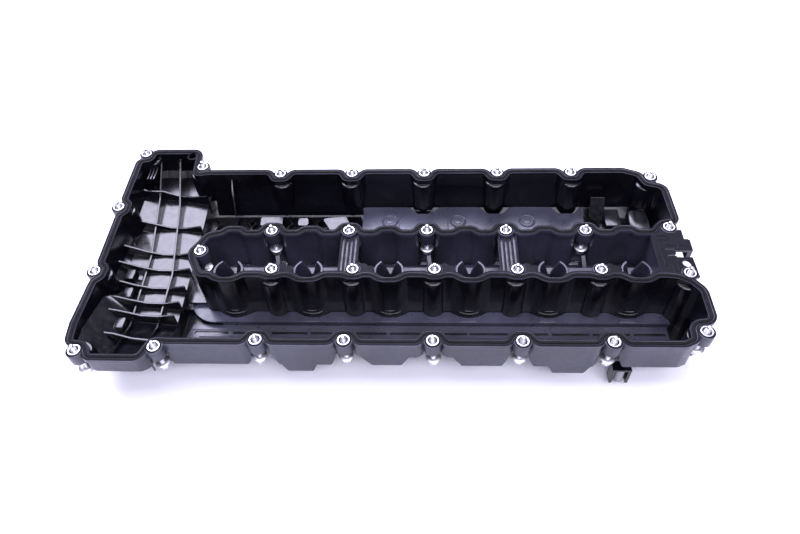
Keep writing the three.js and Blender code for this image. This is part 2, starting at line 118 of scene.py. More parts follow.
def offset(outline, distance):
    """The closed outline moved sideways: positive to the left of its direction."""
    moved = []
    for i, here in enumerate(outline):
        point = Vector(here)
        into = (point - Vector(outline[i - 1])).normalized()
        out = (Vector(outline[(i + 1) % len(outline)]) - point).normalized()
        normal = Vector((-into.y - out.y, into.x + out.x)).normalized()
        reach = distance / max(0.5, normal.dot(Vector((-into.y, into.x))))
        moved.append(tuple(point + normal * reach))
    return moved


def ring(x, y, radius, sides=48):
    """A circle as a closed outline."""
    return [(x + radius * math.cos(math.tau * k / sides), y + radius * math.sin(math.tau * k / sides))
            for k in range(sides)]


def detour(x, straight, away, direction):
    """The seal's rounded way past a bolt on a run along X."""
    return [(x - direction * 15, straight, 8), (x - direction * 7.6, away, 7.5),
            (x + direction * 7.6, away, 7.5), (x + direction * 15, straight, 8)]


def seal_corners():
    """Corners of the seal line, anticlockwise round the oil space."""
    front = [c for x, _ in FRONT_ROW for c in detour(x, FRONT_Y, CLEAR + 0.3, 1)]
    back = [c for x, y in reversed(BACK_ROW) for c in detour(x, BACK_Y, y - CLEAR - 0.3, -1)]
    valley_front = []
    for i, x in enumerate(reversed(TUBE_XS)):
        valley_front += [(x + 20, VALLEY_FRONT_Y, 12), (x + 9, TUBE_BULGE_Y, 16),
                         (x - 9, TUBE_BULGE_Y, 16), (x - 20, VALLEY_FRONT_Y, 12)]
        if i < len(INNER_FRONT_ROW):
            bolt_x, bolt_y = INNER_FRONT_ROW[-1 - i]
            valley_front += [(bolt_x + 12, VALLEY_FRONT_Y, 8), (bolt_x + 4.4, bolt_y - CLEAR - 0.6, 8),
                             (bolt_x - 4.4, bolt_y - CLEAR - 0.6, 8), (bolt_x - 12, VALLEY_FRONT_Y, 8)]
    valley_back = []
    for x, y in INNER_BACK_ROW:
        valley_back += detour(x - PITCH / 2, VALLEY_BACK_Y, y + 4.8, 1)
        valley_back += detour(x, VALLEY_BACK_Y, y + CLEAR + 0.3, 1)
    last = detour(INNER_BACK_ROW[-1][0] + PITCH / 2, VALLEY_BACK_Y, 157, 1)
    return [
        (-198, 20), (-195.6, -4, 8), (-179, -5.5, 8), (-171, -21, 8), (-117.5, -21.4, 8),
        (-109, FRONT_Y + 1.2, 9), (-92, FRONT_Y, 8), *front,
        (434, FRONT_Y, 10), (445.5, 4.5, 6), (446.5, 24.5, 12), (469, 27, 9), (469, 66, 14),
        (459, 79, 8), (448, VALLEY_FRONT_Y - 2, 8), (436, VALLEY_FRONT_Y, 12), *valley_front,
        (-80, VALLEY_FRONT_Y, 16), (-92, 109, 9), (-95.5, 121, 9), (-87.5, 134.5, 9), (-82, 147, 12),
        *valley_back, *last, (434, VALLEY_BACK_Y, 8), (446.5, 165, 8), (463, 168, 6),
        (461.6, 224, 10), (442, 230, 8), (436, 246, 8), (418, BACK_Y, 10), *back,
        (-97, BACK_Y, 8), (-106, 253.4, 8), (-121, 250, 8), (-124.4, 294, 9), (-184, 294, 6),
        (-186, 279.5, 7), (-199.6, 277, 6), (-198.6, 206, 8), (-191, 199, 8), (-190.6, 185, 8),
        (-197.2, 178, 8), (-195.6, 104, 8), (-188.2, 97.5, 8), (-188, 83.5, 8), (-195.6, 76, 8),
    ]


SEAL_LINE = rounded(seal_corners())


# ---- Working with objects -----------------------------------------------------------------------------
def choose(*pieces):
    """Selects these objects only, the first one active."""
    bpy.ops.object.select_all(action="DESELECT")
    for piece in pieces:
        piece.select_set(True)
    bpy.context.view_layer.objects.active = pieces[0]


def tidy_mesh(piece, gap=1e-4):
    """Merges doubled points and turns every face outwards."""
    choose(piece)
    bpy.ops.object.mode_set(mode="EDIT")
    bpy.ops.mesh.select_all(action="SELECT")
    bpy.ops.mesh.remove_doubles(threshold=gap)
    bpy.ops.mesh.normals_make_consistent(inside=False)
    bpy.ops.object.mode_set(mode="OBJECT")
    return piece


def flat_curve(outlines, closed=True):
    """A flat curve object holding these outlines."""
    curve = bpy.data.curves.new("outline", "CURVE")
    curve.dimensions = "2D"
    curve.fill_mode = "BOTH"
    for outline in outlines:
        spline = curve.splines.new("POLY")
        spline.points.add(len(outline) - 1)
        for point, (x, y) in zip(spline.points, outline):
            point.co = (x, y, 0, 1)
        spline.use_cyclic_u = closed
    piece = bpy.data.objects.new("outline", curve)
    bpy.context.collection.objects.link(piece)
    return piece


def as_mesh(piece):
    """Makes a curve object a mesh with its place applied."""
    choose(piece)
    bpy.ops.object.convert(target="MESH")
    piece = bpy.context.object
    bpy.ops.object.transform_apply(location=True, rotation=True, scale=True)
    return tidy_mesh(piece)


def prism(outlines, bottom, top, turn=Matrix.Identity(4), edge=0.0):
    """A prism over closed outlines, the later ones being holes, with edges rounded by edge."""
    piece = flat_curve(outlines)
    piece.data.extrude = (top - bottom) / 2 - edge
    if edge:
        piece.data.bevel_depth = edge
        piece.data.bevel_resolution = 2
        piece.data.offset = -edge
    piece.matrix_world = turn @ Matrix.Translation((0, 0, (top + bottom) / 2))
    return as_mesh(piece)


def bar(outline, from_x, to_x):
    """A prism along X over an outline of (y, z)."""
    turn = Matrix(((0, 0, 1, 0), (1, 0, 0, 0), (0, 1, 0, 0), (0, 0, 0, 1)))
    return prism([outline], from_x, to_x, turn)


def drum(x, y, radius, bottom, top, sides=48, edge=0.0):
    """An upright cylinder."""
    return prism([ring(x, y, radius, sides)], bottom, top, edge=edge)


def block(x0, x1, y0, y1, z0, z1, edge=0.0):
    """A box between two corners."""
    return prism([[(x0, y0), (x1, y0), (x1, y1), (x0, y1)]], z0, z1, edge=edge)


def rib(start, end, tops, bottom, thickness=2.0):
    """A standing rib, its top edge given as (share of the length, z)."""
    run = Vector(end) - Vector(start)
    outline = [(0, bottom), (run.length, bottom)] + [(s * run.length, z) for s, z in reversed(tops)]
    along = run.normalized()
    turn = Matrix(((along.x, 0, along.y, start[0]), (along.y, 0, -along.x, start[1]), (0, 1, 0, 0),
                   (0, 0, 0, 1)))
    return prism([outline], -thickness / 2, thickness / 2, turn)


def gather(pieces):
    """One object from pieces that lie apart."""
    choose(*pieces)
    bpy.ops.object.join()
    return bpy.context.object


def combine(base, tool, operation="UNION"):
    """Joins, cuts or intersects base with tool, which is used up."""
    modifier = base.modifiers.new("combine", "BOOLEAN")
    modifier.operation = operation
    modifier.solver = "MANIFOLD"
    modifier.object = tool
    choose(base)
    bpy.ops.object.modifier_apply(modifier=modifier.name)
    bpy.data.objects.remove(tool, do_unlink=True)
    if not base.data.polygons:
        raise RuntimeError("%s came out empty" % operation.lower())
    return base


def join_all(pieces):
    """The union of the pieces."""
    first, *rest = pieces
    for piece in rest:
        combine(first, piece)
    return first


def copy_of(piece):
    """A copy with its own mesh."""
    twin = piece.copy()
    twin.data = piece.data.copy()
    bpy.context.collection.objects.link(twin)
    return twin


def turned(profile, x=0.0, y=0.0, sides=48):
    """A closed profile of (radius, z) spun about an upright axis."""
    section = flat_curve([profile])
    section.data.fill_mode = "NONE"
    section.rotation_euler.x = math.pi / 2
    choose(section)
    bpy.ops.object.convert(target="MESH")
    piece = bpy.context.object
    bpy.ops.object.transform_apply(location=True, rotation=True, scale=True)
    bpy.ops.object.mode_set(mode="EDIT")
    bpy.ops.mesh.select_all(action="SELECT")
    bpy.ops.mesh.spin(steps=sides, angle=math.tau, center=(0, 0, 0), axis=(0, 0, 1))
    bpy.ops.object.mode_set(mode="OBJECT")
    piece.location = (x, y, 0)
    choose(piece)
    bpy.ops.object.transform_apply(location=True, rotation=True, scale=True)
    return tidy_mesh(piece, 1e-3)


def sweep(line, profile):
    """A closed section of (sideways, z) carried along a closed outline."""
    path = flat_curve([line])
    path.data.fill_mode = "NONE"
    section = flat_curve([profile])
    path.data.bevel_mode = "OBJECT"
    path.data.bevel_object = section
    swept = as_mesh(path)
    bpy.data.objects.remove(section, do_unlink=True)
    return swept


def finish(piece, name, finishes, body="cover"):
    """Brings a piece to the frame's metres, names it, gives it its finishes and rides it."""
    piece.name = name
    piece.data.name = name
    piece.matrix_world = TO_FRAME @ piece.matrix_world
    choose(piece)
    bpy.ops.object.transform_apply(location=True, rotation=True, scale=True)
    piece.data.materials.clear()
    for key in finishes:
        piece.data.materials.append(finish_for(key))
    bpy.ops.object.shade_smooth_by_angle(angle=math.radians(32))
    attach(piece, body)
    return piece


# ---- Materials ----------------------------------------------------------------------------------------
def colour(text):
    """An sRGB hex value as linear red, green, blue and alpha."""
    parts = [int(text[i:i + 2], 16) / 255 for i in (1, 3, 5)]
    linear = [c / 12.92 if c <= 0.04045 else ((c + 0.055) / 1.055) ** 2.4 for c in parts]
    return (*linear, 1.0)


def add(tree, kind, links=(), **settings):
    """Adds a node, sets its properties or input values, and links inputs to other nodes' outputs."""
    node = tree.nodes.new(kind)
    for key, value in settings.items():
        if key in node.inputs.keys():
            node.inputs[key].default_value = value
        else:
            setattr(node, key, value)
    for socket, source in links:
        tree.links.new(source, node.inputs[socket])
    return node


def new_material(name):
    """A material with an empty Principled surface and object coordinates."""
    material = bpy.data.materials.new(name)
    material.use_nodes = True
    tree = material.node_tree
    tree.nodes.clear()
    out = add(tree, "ShaderNodeOutputMaterial")
    surface = add(tree, "ShaderNodeBsdfPrincipled")
    tree.links.new(surface.outputs["BSDF"], out.inputs["Surface"])
    place = add(tree, "ShaderNodeTexCoord").outputs["Object"]
    return material, tree, surface, place


def moulded(name, dark, light, gloss_range, grain_mm, relief, round_mm):
    """A moulded plastic or rubber: mottled colour, uneven gloss, fine grain and softened edges.

    The mottling is about 45 mm across and the gloss changes every 7 mm or so.
    """
    material, tree, surface, place = new_material(name)
    cloud = add(tree, "ShaderNodeTexNoise", [("Vector", place)], Scale=22.0, Detail=6.0)
    streak = add(tree, "ShaderNodeTexNoise", [("Vector", place)], Scale=140.0, Detail=4.0)
    grain = add(tree, "ShaderNodeTexNoise", [("Vector", place)], Scale=1 / (grain_mm * MM), Detail=2.0)
    tint = add(tree, "ShaderNodeValToRGB", [("Fac", cloud.outputs["Fac"])])
    low, high = tint.color_ramp.elements
    low.color, low.position = colour(dark), 0.35
    high.color, high.position = (*light, 1.0), 0.7
    gloss = add(tree, "ShaderNodeMapRange", [("Value", streak.outputs["Fac"])],
                **{"From Min": 0.3, "From Max": 0.7, "To Min": gloss_range[0], "To Max": gloss_range[1]})
    soft = add(tree, "ShaderNodeBevel", samples=6, Radius=round_mm * MM)
    bump = add(tree, "ShaderNodeBump", [("Height", grain.outputs["Fac"]), ("Normal", soft.outputs["Normal"])],
               Strength=relief, Distance=0.0002)
    tree.links.new(tint.outputs["Color"], surface.inputs["Base Color"])
    tree.links.new(gloss.outputs["Result"], surface.inputs["Roughness"])
    tree.links.new(bump.outputs["Normal"], surface.inputs["Normal"])
    return material, surface


NYLON_IOR = 1.53


def nylon_satin(tone):
    """Glass-filled nylon off a polished tool: near black, with a satin sheen that shows flow marks."""
    material, surface = moulded("glass_filled_nylon_satin", "#050509", tone, (0.16, 0.27), 1.1, 0.1, 0.8)
    surface.inputs["IOR"].default_value = NYLON_IOR
    return material


def nylon_land(tone):
    """Glass-filled nylon on the flat sealing land: dull black beside its glossy edges."""
    material, surface = moulded("glass_filled_nylon_land", "#0a0a10", tone, (0.5, 0.64), 0.7, 0.35, 0.6)
    surface.inputs["IOR"].default_value = NYLON_IOR
    surface.inputs["Specular IOR Level"].default_value = 0.1
    return material


def nylon_lip_painted_highlight(tone):
    """Glass-filled nylon on the rounded lips beside the seal: its base colour is painted pale, a painted
    highlight where the edges catch the light.
    """
    material, surface = moulded("glass_filled_nylon_lip_painted_highlight", "#3d3c4b", tone, (0.3, 0.42), 0.7, 0.2, 0.4)
    surface.inputs["IOR"].default_value = NYLON_IOR
    return material


def nylon_plate(tone):
    """Glass-filled nylon of the inner plates: satin with flow marks, paler than the oil side."""
    material, surface = moulded("glass_filled_nylon_plate", "#2a2a36", tone, (0.26, 0.38), 1.0, 0.2, 0.6)
    surface.inputs["IOR"].default_value = NYLON_IOR
    return material


def nylon_eroded_with_painted_reflection(tone):
    """Glass-filled nylon off a spark-eroded tool: the outside's fine-grained, greyer satin, its lavender grey
    partly the nylon's own and partly a painted reflection of the white floor.
    """
    material, surface = moulded("glass_filled_nylon_eroded_with_painted_reflection", "#242430", tone, (0.34, 0.48), 0.9, 0.3, 1.0)
    surface.inputs["IOR"].default_value = NYLON_IOR
    return material


def seal_rubber(tone):
    """Acrylate rubber moulded in a steel tool: soft black with no gloss."""
    material, surface = moulded("acrylate_rubber", "#030304", tone, (0.62, 0.8), 0.9, 0.3, 0.3)
    surface.inputs["IOR"].default_value = 1.5
    surface.inputs["Specular IOR Level"].default_value = 0.2
    return material


def grey_nylon(tone):
    """Unfilled grey nylon, satin, with faint flow marks."""
    material, surface = moulded("grey_nylon", "#77787d", tone, (0.38, 0.5), 0.8, 0.2, 0.4)
    surface.inputs["IOR"].default_value = NYLON_IOR
    return material


def zinc_steel(tone):
    """Bright zinc plating on turned steel: pale silver, with turning marks and cloudy gloss.

    Real turning marks are too fine to show, so they are drawn about 2.4 mm apart.
    """
    material, tree, surface, place = new_material("bright_zinc_steel")
    cloud = add(tree, "ShaderNodeTexNoise", [("Vector", place)], Scale=260.0, Detail=5.0)
    marks = add(tree, "ShaderNodeTexWave", [("Vector", place)], Scale=420.0, Distortion=1.5)
    marks.bands_direction = "Z"
    tint = add(tree, "ShaderNodeValToRGB", [("Fac", cloud.outputs["Fac"])])
    low, high = tint.color_ramp.elements
    low.color = colour("#b9bac2")
    high.color = (*tone, 1.0)
    gloss = add(tree, "ShaderNodeMapRange", [("Value", cloud.outputs["Fac"])],
                **{"To Min": 0.34, "To Max": 0.5})
    soft = add(tree, "ShaderNodeBevel", samples=6, Radius=0.3 * MM)
    bump = add(tree, "ShaderNodeBump", [("Height", marks.outputs["Fac"]), ("Normal", soft.outputs["Normal"])],
               Strength=0.08, Distance=0.0001)
    surface.inputs["Metallic"].default_value = 1.0
    tree.links.new(tint.outputs["Color"], surface.inputs["Base Color"])
    tree.links.new(gloss.outputs["Result"], surface.inputs["Roughness"])
    tree.links.new(bump.outputs["Normal"], surface.inputs["Normal"])
    return material


FINISHES = {"satin": nylon_satin, "land": nylon_land, "eroded": nylon_eroded_with_painted_reflection, "lip": nylon_lip_painted_highlight,
            "plate": nylon_plate, "rubber": seal_rubber, "grey": grey_nylon, "zinc": zinc_steel}
MADE = {}


def finish_for(key):
    """The material of a finish, made the first time it is asked for, in the user's colour."""
    if key not in MADE:
        MADE[key] = FINISHES[key](getattr(bpy.context.scene.cover_settings, key + "_colour"))
    return MADE[key]


# ---- Shell --------------------------------------------------------------------------------------------
LEFT_STEP_X = -112
# The roof lines as (y, z) from the front to the back
CHAMBER_ROOF = [(-40, -20), (-22, -24), (45, -53), (120, -50), (232, -43), (284, -40), (300, -22), (320, -22)]
TROUGH_ROOF = [(-40, -25), (3, -25), (44, -77), (91, -77), (91, -63), (228, -63), (250, -50), (320, -50)]
HUMP_ROOF = [(-40, -40), (-5, -40), (-3, -42.5), (1, -45), (42, -77), (91, -77)]
LOBE_ROOF = [(-40, -53), (-5, -53), (-3, -55.5), (1, -58), (18, -77), (91, -77)]
# Each bulge's ends across the front, as (x at z -16, x at its foot, foot z), left end then right end
HUMPS = [((LEFT_STEP_X, LEFT_STEP_X), (-3, -14)), ((10, 20), (86, 74)), ((101, 120), (162, 148)),
         ((198, 214), (265, 254)), ((276, 288), (360, 350)), ((370, 380), (474, 474))]
LOBES = [((12, 27), (68, 53)), ((294, 310), (357, 341))]


def space(roof, from_x, to_x, skin=0.0):
    """The room between the gasket face and a roof line, moved in by the skin."""
    line = [(y, z + skin) for y, z in roof]
    return bar(line + [(line[-1][0], 3), (line[0][0], 3)], from_x + skin, to_x - skin)


def bulge(roof, ends, foot, skin):
    """A bulge of the front roof: its cross-section, narrowed by its sloping ends."""
    (left, left_foot), (right, right_foot) = ends
    turn = Matrix(((1, 0, 0, 0), (0, 0, -1, 0), (0, 1, 0, 0), (0, 0, 0, 1)))
    face = rounded([(left, 9), (left, -16, 9), (left_foot, foot, 9), (right_foot, foot, 9), (right, -16, 9),
                    (right, 9)])
    behind = [(left, 9), (left, -16), (left_foot, foot), (left_foot + 8, -95), (right_foot - 8, -95),
              (right_foot, foot), (right, -16), (right, 9)]
    ends_cut = prism([offset(face, skin)], -1.5 - skin, 42, turn)
    combine(ends_cut, prism([offset(behind, 6 + skin)], -92, -1.4 - skin, turn))
    return combine(space(roof, left - 1, right + 1, skin), ends_cut, "INTERSECT")


def envelope(skin):
    """The cover's outside, or with a skin its inside."""
    parts = [space(CHAMBER_ROOF, -230 - skin, LEFT_STEP_X + 3 + 2 * skin, skin),
             space(TROUGH_ROOF, LEFT_STEP_X, 490, skin)]
    parts += [bulge(HUMP_ROOF, ends, -43, skin) for ends in HUMPS]
    parts += [bulge(LOBE_ROOF, ends, -56, skin) for ends in LOBES]
    return join_all(parts)


def chamber_ribs():
    """The crossed ribs, the ramp and the level pads on the left chamber's floor."""
    floor = -58
    long_ribs = [((-158, -24), (-163, 150), [(0, -15), (0.4, -42), (1, -41)]),
                 ((-163, 149), (-178, 296), [(0, -41), (0.6, -30), (1, -8)]),
                 ((-128, -24), (-129, 120), [(0, -15), (0.48, -43), (1, -40)]),
                 ((-129, 119), (-153, 296), [(0, -40), (0.6, -32), (1, -8)])]
    ribs = [rib(start, end, tops, floor) for start, end, tops in long_ribs]
    for y, lift in ((20, 9), (55, 5), (76, 2), (100, 0), (127, 0), (152, 0), (192, 4), (238, 12)):
        tops = [(0, -22), (0.18, -28), (0.4, -37 + lift), (0.6, -42 + lift), (0.8, -41 + lift),
                (1, -36 + lift)]
        ribs.append(rib((-208, y + lift + 2), (-108, y - 3), tops, floor))
    ramp = rib((-160, 112), (-216, 100), [(0, -57), (0.12, -54), (0.75, -21), (1, -8)], floor - 2, 300)
    apron = rib((-166, 214), (-204, 214), [(0, -46), (0.1, -44), (1, -34)], floor - 2, 52)
    flank = rib((-166, 150), (-186, 150), [(0, -47), (0.1, -45.5), (1, -42)], floor - 2, 72)
    pads = [block(x - 5, x + 5, y - 7, y + 7, floor, z, 0.6)
            for x, y, z in ((-176, 113, -33), (-171, 86, -33), (-168, 44, -34))]
    ridges = [block(x, x + 2.2, 258, 280, -30, -15, 0.4) for x in (-191, -187, -183)]
    return ribs + [ramp, apron, flank, *pads, *ridges]


def trough_ribs():
    """Ribs, curved walls and the stepped end of the back trough."""
    ribs = [rib((-76, 256), (-66, 160), [(0, -5), (0.2, -20), (0.4, -52), (1, -54)], FLOOR_ROOT)]
    for x, y, radius in ((-74, 196, 26), (-32, 198, 22), (17, 198, 23), (60, 196, 19)):
        wall = prism([ring(x, y, radius), ring(x, y, radius - 2)], FLOOR_ROOT, -53)
        ribs.append(combine(wall, block(x - 30, x + 30, 160, y + 6, -70, -40), "DIFFERENCE"))
    ribs.append(block(-98, 92, 213.5, 214.5, -66, -41))
    for y, start, end in ((230, -100, 92), (237, 90, 440)):
        ribs.append(bar([(y, -66), (y + 4, -52), (250.6, -14), (258, -14), (258, -66)], start, end))
    for pad in ([(-36, 211), (-8, 211), (-7, 196), (-35, 196)], [(12, 209), (25, 209), (26, 196), (13, 196)],
                [(43, 208), (73, 212), (84, 186), (56, 186)], [(85, 198), (91, 198), (91, 186), (85, 186)]):
        ribs.append(prism([rounded([(x, y, 3) for x, y in pad])], FLOOR_ROOT, -38))
    tab = rounded([(-9, 30), (-9, 0, 8), (9, 0, 8), (9, 30)])
    tilt = Matrix(((1, 0, 0, 390), (0, 0.6, 0.8, 216), (0, 0.8, -0.6, -52), (0, 0, 0, 1)))
    ribs.append(prism([tab], 0, 3, tilt))
    ribs.append(block(400, 419, 205, 234, FLOOR_ROOT, -49, 1))
    ribs.append(prism([rounded([(426, 188), (452, 188), (452, 226, 6), (426, 226, 6)])], FLOOR_ROOT, -40,
                      edge=4))
    return ribs


def land_profile():
    """Section of the rim: a rounded lip each side of the seal's groove."""
    out, half, deep, r = BAND / 2 + 1.6, BAND / 2, GROOVE_DEPTH, 1.0
    return [(-out, -5.5), (-out, -r), (-out + 0.2, -0.2), (-out + r, 0), (-GROOVE_HALF - 0.3, 0),
            (-GROOVE_HALF, -0.3), (-GROOVE_HALF, -deep), (GROOVE_HALF, -deep), (GROOVE_HALF, -0.3),
            (GROOVE_HALF + 0.3, 0), (half - r, 0), (half - 0.2, -0.2), (half, -r), (half, -5.5)]


def columns():
    """The rounded columns that carry the bolts, on the oil side of the walls."""
    posts = []
    for x, y in BOLTS:
        bolt = Vector((x, y))
        nearest = min((Vector(point) for point in SEAL_LINE), key=lambda point: (point - bolt).length)
        place = bolt + (nearest - bolt).normalized() * 4.8
        posts.append(drum(place.x, place.y, 13.4, -76, -7.5, 48, 3))
    return gather(posts)


def tube_steps():
    """The two stepped rings at the foot of each coil tube, on the oil side."""
    return [gather([drum(x, TUBE_Y, radius, -76, top, 64, 0.5) for x in TUBE_XS])
            for radius, top in ((21.2, -54), (22.6, -58))]


def bridge(x):
    """The ribbed bridge across the coil valley."""
    deck = block(x - 11, x + 11, 84, 153, -9, -6)
    ridges = [block(x + dx - 1, x + dx + 1, 84, 153, -7, -3) for dx in (-9.5, -4.75, 0, 4.75, 9.5)]
    return [deck, *ridges]


def gusset(x):
    """The tapered gusset in the valley under a bolt of the inner back row."""
    return rib((x + 1, 150), (x + 7, 110), [(0, -28), (1, -60)], -62, 5)


def end_bracket():
    """The slotted plate across the valley's open end."""
    plate = prism([[(431, 84), (470, 84), (469, 112), (452, 112), (452, 122), (472, 122), (470.5, 139),
                    (466, 139), (466, 153), (431, 153)]], -4, -0.6)
    parts = join_all([plate, block(466.5, 472, 122, 138, -16, -0.7),
                      rib((431.5, 84), (431.5, 152), [(0, -2), (1, -2)], -64, 3)])
    for a, b, c, d in ((436, 449, 138, 140), (436, 449, 144, 146), (436, 440, 100, 134), (455, 466, 89, 91),
                       (443, 465, 130, 132), (456, 458, 124, 136), (444, 446, 88, 100), (450, 452, 92, 103)):
        combine(parts, block(a, b, c, d, -1, 0.4))
    for a, b, c, d in ((441, 454, 122.6, 125.4), (442, 452, 114, 117), (445, 455, 106, 108.4)):
        combine(parts, block(a, b, c, d, -10, 4), "DIFFERENCE")
    return combine(parts, drum(461, 103.5, 5, -10, 4, 28), "DIFFERENCE")


def roof_rails():
    """Rails under the roof, which the cover stands on."""
    rails = [block(-60, 420, y, y + 3, -ROOF_DROP, -76) for y in (50, 84)]
    return rails + [block(x, x + 3, 50, 86, -ROOF_DROP, -76) for x in (-60, 60, 180, 300, 417)]


def tube_notch(x):
    """The V cut in the rear of a coil tube's rim."""
    turn = Matrix(((1, 0, 0, x), (0, 0, -1, TUBE_Y + 21), (0, 1, 0, 0), (0, 0, 0, 1)))
    return prism([[(-11, 2), (-1.5, -29), (1.5, -29), (11, 2)]], 0, 20, turn)


def build_shell():
    """The moulded shell as one closed solid."""
    outside = envelope(0)
    plan = prism([SEAL_LINE], -90, 2)
    walls = prism([offset(SEAL_LINE, -BAND / 2), offset(SEAL_LINE, BAND / 2)], -90, -4)
    combine(walls, copy_of(outside), "INTERSECT")
    ribs = join_all(chamber_ribs() + trough_ribs() + [columns()] + tube_steps())
    combine(ribs, copy_of(plan), "INTERSECT")
    combine(ribs, copy_of(outside), "INTERSECT")
    roof = combine(outside, envelope(SKIN), "DIFFERENCE")
    combine(roof, plan, "INTERSECT")
    shell = join_all([walls, roof, ribs, sweep(SEAL_LINE, land_profile())])
    combine(shell, join_all([block(-84, 433, 88, 121, -33, -30), block(-84, 433, 118, 121, -63, -30),
                             block(-84, 433, 118, 150, -63, -60)]))
    combine(shell, gather([drum(x, y, BOSS_RADIUS, BOSS_FOOT, 0, 40, 0.5) for x, y in BOLTS]))
    for x, _ in (INNER_FRONT_ROW[1], INNER_FRONT_ROW[3]):
        combine(shell, join_all(bridge(x - 7)))
    combine(shell, gather([gusset(x) for x, _ in INNER_BACK_ROW[::2]]))
    for x, y in INNER_FRONT_ROW:
        combine(shell, join_all([drum(x + 11, y + 5, 6, -12, -2.5, 32, 0.6),
                                 drum(x + 19, y + 3, 4.5, -12, -2.5, 32, 0.6),
                                 block(x, x + 19, y - 4, y + 6, -12, -2.5)]))
    combine(shell, drum(-133, 287, 6.6, -30, -2, 40, 0.5))
    combine(shell, drum(-133, 287, 4.8, -26, 2, 40), "DIFFERENCE")
    combine(shell, gather([drum(x, TUBE_Y, TUBE_RADIUS, -70, -5.5, 64, 0.6) for x in TUBE_XS]))
    combine(shell, end_bracket())
    combine(shell, join_all(roof_rails()))
    combine(shell, drum(232, 200, 34, -75, -61, 64))
    groove = prism([offset(SEAL_LINE, -GROOVE_HALF), offset(SEAL_LINE, GROOVE_HALF)], -GROOVE_DEPTH, 2)
    combine(shell, groove, "DIFFERENCE")
    combine(shell, gather([drum(x, TUBE_Y, TUBE_BORE, -71, 4, 64) for x in TUBE_XS]), "DIFFERENCE")
    combine(shell, gather([tube_notch(x) for x in TUBE_XS]), "DIFFERENCE")
    combine(shell, gather([drum(x, y, BOSS_BORE, BOSS_FOOT - 1, 4, 40) for x, y in BOLTS]), "DIFFERENCE")
    combine(shell, gather([drum(x, y, 9.6, -60, BOSS_FOOT, 40) for x, y in BOLTS]), "DIFFERENCE")
    combine(shell, drum(232, 200, 31, -76, -63, 64), "DIFFERENCE")
    return combine(shell, drum(232, 200, 8, -70, -50, 32), "DIFFERENCE")


def within(x, y, outline):
    """Whether a point lies inside a closed outline."""
    hits = 0
    for i, (bx, by) in enumerate(outline):
        ax, ay = outline[i - 1]
        if (ay > y) != (by > y) and x < ax + (y - ay) * (bx - ax) / (by - ay):
            hits += 1
    return hits % 2 == 1


SHELL_FINISHES = ("satin", "land", "eroded", "lip")


def kind_of_face(face):
    """The finish of a shell face, as its place in SHELL_FINISHES."""
    x, y, z = face.center
    # The sloped faces of the rounded lips get the pale lip finish: a painted highlight along the edges.
    if -1.1 < z < -0.01 and 0.15 < face.normal.z < 0.97:
        return SHELL_FINISHES.index("lip")
    if z > -4 and face.normal.z > 0.95:
        return SHELL_FINISHES.index("land")
    # Outside faces get the grained finish, whose paler lavender tone is partly a painted reflection of the
    # white floor.
    if face.normal.z < -0.5 or not within(x, y, SEAL_LINE):
        return SHELL_FINISHES.index("eroded")
    return SHELL_FINISHES.index("satin")


def colour_setting(name, what, text):
    """A colour setting, its default given as hex."""
    return bpy.props.FloatVectorProperty(
        name=name, description="Lighter tone of " + what, subtype="COLOR", size=3, min=0.0, max=1.0,
        default=colour(text)[:3])


class CoverSettings(bpy.types.PropertyGroup):
    """Sizes and colours of the cover that a user would change."""
    sleeve_height: bpy.props.FloatProperty(
        name="Sleeve height", description="How far each sleeve stands above the gasket face",
        default=1.0 * MM, min=0.0, max=2.0 * MM, unit="LENGTH", precision=4)
    seal_crown: bpy.props.FloatProperty(
        name="Seal crown", description="Height of the seal's bead above the gasket face",
        default=0.7 * MM, min=0.2 * MM, max=1.5 * MM, unit="LENGTH", precision=4)
    light_power: bpy.props.FloatProperty(
        name="Light power", description="Strength of the studio lights, as a share of their usual power",
        default=1.0, min=0.0, max=10.0, subtype="FACTOR")
    satin_colour: colour_setting("Oil side", "the polished nylon inside", "#0c0c13")
    land_colour: colour_setting("Sealing land", "the flat nylon beside the seal", "#14141c")
    # The lips' lighter tone is a painted highlight along the seal's edges.
    lip_colour: colour_setting("Lips", "the rounded lips beside the seal", "#5b5a6c")
    plate_colour: colour_setting("Inner plates", "the baffle and the separator", "#404052")
    # The outside's lighter tone is partly the grained nylon's own grey and partly a painted reflection of the
    # white floor.
    eroded_colour: colour_setting("Outside", "the fine-grained nylon outside", "#353545")
    rubber_colour: colour_setting("Rubber", "the seal and the grommets", "#070709")
    grey_colour: colour_setting("Clip bush", "the grey nylon bush", "#8e8f94")
    zinc_colour: colour_setting("Zinc plating", "the bolts and the sleeves", "#f2f2f6")


class COVER_OT_shell(bpy.types.Operator):
    """Models the shell, which stands for the CAD shell."""
    bl_idname = "cover.shell"
    bl_label = "Shell"

    def execute(self, context):
        shell = build_shell()
        kinds = [kind_of_face(face) for face in shell.data.polygons]
        finish(shell, "shell_moulding", SHELL_FINISHES)
        for face, kind in zip(shell.data.polygons, kinds):
            face.material_index = kind
        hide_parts("cover_shell")
        return {"FINISHED"}


class COVER_OT_seal(bpy.types.Operator):
    """Models the profile seal in its groove."""
    bl_idname = "cover.seal"
    bl_label = "Profile seal"

    def execute(self, context):
        crown = context.scene.cover_settings.seal_crown / MM
        profile = [(-1.5, -2.7), (1.5, -2.7), (1.7, -0.5), (1.45, crown - 0.5), (1, crown - 0.12),
                   (0.5, crown), (0, crown - 0.2), (-0.5, crown), (-1, crown - 0.12),
                   (-1.45, crown - 0.5), (-1.7, -0.5)]
        seal = finish(sweep(SEAL_LINE, profile), "seal_bead", ["rubber"])
        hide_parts("profile_gasket")
        return {"FINISHED"}


def lean_of(index):
    """The bolt's lean in its loose grommet."""
    return Matrix.Rotation(BOLT_LEAN * math.cos(1.7 * index), 4, "Y"), \
        Matrix.Rotation(BOLT_LEAN * math.sin(2.4 * index), 4, "X")


